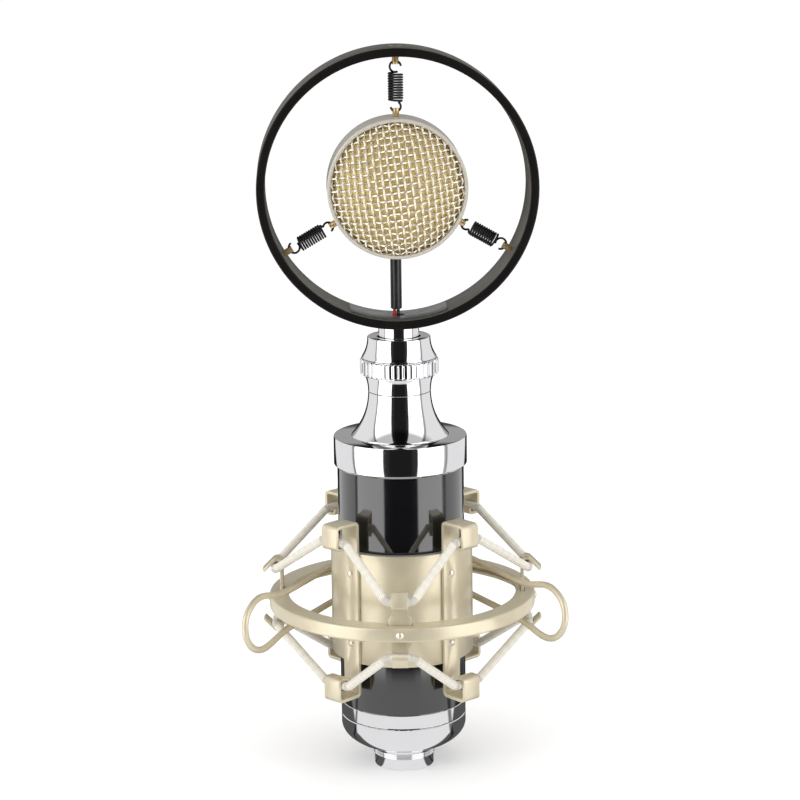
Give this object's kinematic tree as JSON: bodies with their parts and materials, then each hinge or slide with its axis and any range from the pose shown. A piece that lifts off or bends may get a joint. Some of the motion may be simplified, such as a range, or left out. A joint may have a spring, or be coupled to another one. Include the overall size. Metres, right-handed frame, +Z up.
{
  "type": "condenser microphone in a shock mount",
  "caption": "Studio microphone with a round mesh head sprung inside a hoop, held upright in an elastic shock mount with squeeze handles.",
  "frame": {"origin": "centre of the tail connector's end face", "axes": "+Z up along the microphone's axis, -Y out of the front of the head, +X to the right seen from the front"},
  "size_m": [0.1254, 0.1325, 0.2888],
  "materials": {
    "polished_chrome": "polished",
    "black_lacquer": "gloss lacquer",
    "black_insulator": "satin",
    "gold_contact": "gold plated",
    "chassis_steel": "zinc plated",
    "board_laminate": "solder mask",
    "component_body": "sleeved",
    "hoop_paint": "satin",
    "plain_plate": "brushed",
    "brass_posts": "turned",
    "black_spring_steel": "black oxide",
    "rim_satin": "satin plated",
    "silver_mesh": "woven wire",
    "gold_mesh": "fine woven wire",
    "capsule_brass": "turned",
    "gold_film": "sputtered film",
    "wire_insulation": "extruded insulation",
    "satin_champagne": "satin plated",
    "black_felt": "felt",
    "white_elastic": "woven elastic",
    "thread_brass": "turned",
    "bolt_steel": "plated",
    "knob_plastic": "moulded"
  },
  "bodies": {
    "microphone": {"tail_shell": "polished_chrome", "xlr_insert": "black_insulator", "xlr_pins": "gold_contact", "bottom_bell": "polished_chrome", "bottom_band": "polished_chrome", "body_tube": "black_lacquer", "top_cap": "polished_chrome", "neck_socket": "polished_chrome", "chassis_rails": "chassis_steel", "circuit_board": "board_laminate", "board_components": "component_body"},
    "head": {"neck_plug": "polished_chrome", "neck_collar": "polished_chrome", "hoop_boss": "polished_chrome", "hoop_band": "hoop_paint", "hoop_plate": "plain_plate", "hoop_posts": "brass_posts", "hoop_post_screws": "polished_chrome", "head_spring_top": "black_spring_steel", "head_spring_left": "black_spring_steel", "head_spring_right": "black_spring_steel"},
    "lock_ring": {"lock_ring": "polished_chrome"},
    "capsule": {"head_rim": "rim_satin", "head_posts": "brass_posts", "outer_mesh_front": "silver_mesh", "inner_mesh_front": "gold_mesh", "outer_mesh_rear": "silver_mesh", "inner_mesh_rear": "gold_mesh", "capsule_backplate": "capsule_brass", "capsule_membranes": "gold_film", "capsule_rings": "capsule_brass", "capsule_saddle": "black_insulator", "stem_sleeve": "black_insulator", "capsule_wires": "wire_insulation"},
    "cradle": {"sleeve_web": "satin_champagne", "web_liner": "black_felt", "hook_strips_front": "satin_champagne", "rivets_front": "satin_champagne", "upper_elastic": "white_elastic", "lower_elastic": "white_elastic"},
    "jaw_left": {"jaw_left": "satin_champagne", "jaw_liner_left": "black_felt", "hook_strip_rear_left": "satin_champagne", "rivets_rear_left": "satin_champagne", "squeeze_handle_left": "satin_champagne", "handle_anchor_left": "satin_champagne"},
    "jaw_right": {"jaw_right": "satin_champagne", "jaw_liner_right": "black_felt", "hook_strip_rear_right": "satin_champagne", "rivets_rear_right": "satin_champagne", "squeeze_handle_right": "satin_champagne", "handle_anchor_right": "satin_champagne"},
    "mount_ring": {"mount_ring": "satin_champagne", "ring_brackets": "satin_champagne", "bracket_rivets": "satin_champagne", "swivel_lug": "satin_champagne"},
    "stand_swivel": {"swivel_yoke": "satin_champagne", "thread_bush": "thread_brass"},
    "tilt_knob": {"tilt_bolt": "bolt_steel", "tilt_knob": "knob_plastic"}
  },
  "joints": [
    {"name": "head_swivel", "type": "hinge", "parent": "microphone", "child": "head", "pos_m": [0, 0, 0.1535], "axis": [0, 0, 1], "range_deg": [-90, 90]},
    {"name": "lock_ring_turn", "type": "hinge", "parent": "head", "child": "lock_ring", "pos_m": [0, 0, 0.1635], "axis": [0, 0, 1], "range_deg": [0, 180]},
    {"name": "capsule_bounce", "type": "slide", "parent": "head", "child": "capsule", "axis": [0, 0, 1], "range_m": [-0.0015, 0.0015], "stiffness_N_per_m": 1500, "springref_m": 0.00065, "deforming": ["head_spring_top", "head_spring_left", "head_spring_right"]},
    {"name": "cradle_turn", "type": "hinge", "parent": "microphone", "child": "cradle", "pos_m": [0, 0, 0.071], "axis": [0, 0, 1], "continuous": true},
    {"name": "jaw_left_open", "type": "hinge", "parent": "cradle", "child": "jaw_left", "pos_m": [-0.02174, -0.01692, 0.071], "axis": [0, 0, 1], "range_deg": [0, 2.5], "stiffness_Nm_per_rad": 1.5, "springref_deg": -3.44},
    {"name": "jaw_right_open", "type": "hinge", "parent": "cradle", "child": "jaw_right", "pos_m": [0.01952, -0.01944, 0.071], "axis": [0, 0, 1], "range_deg": [-2.5, 0], "stiffness_Nm_per_rad": 1.5, "springref_deg": 3.44},
    {"name": "cradle_bounce", "type": "slide", "parent": "cradle", "child": "mount_ring", "axis": [0, 0, 1], "range_m": [-0.0006, 0.003], "stiffness_N_per_m": 900, "springref_m": 0.00218, "deforming": ["upper_elastic", "lower_elastic"]},
    {"name": "stand_tilt", "type": "hinge", "parent": "mount_ring", "child": "stand_swivel", "pos_m": [0.00403, 0.06588, 0.06955], "axis": [0.9981, -0.061, 0], "range_deg": [-6, 90]},
    {"name": "knob_turn", "type": "hinge", "parent": "stand_swivel", "child": "tilt_knob", "pos_m": [0.00403, 0.06588, 0.06955], "axis": [0.9981, -0.061, 0], "continuous": true}
  ]
}
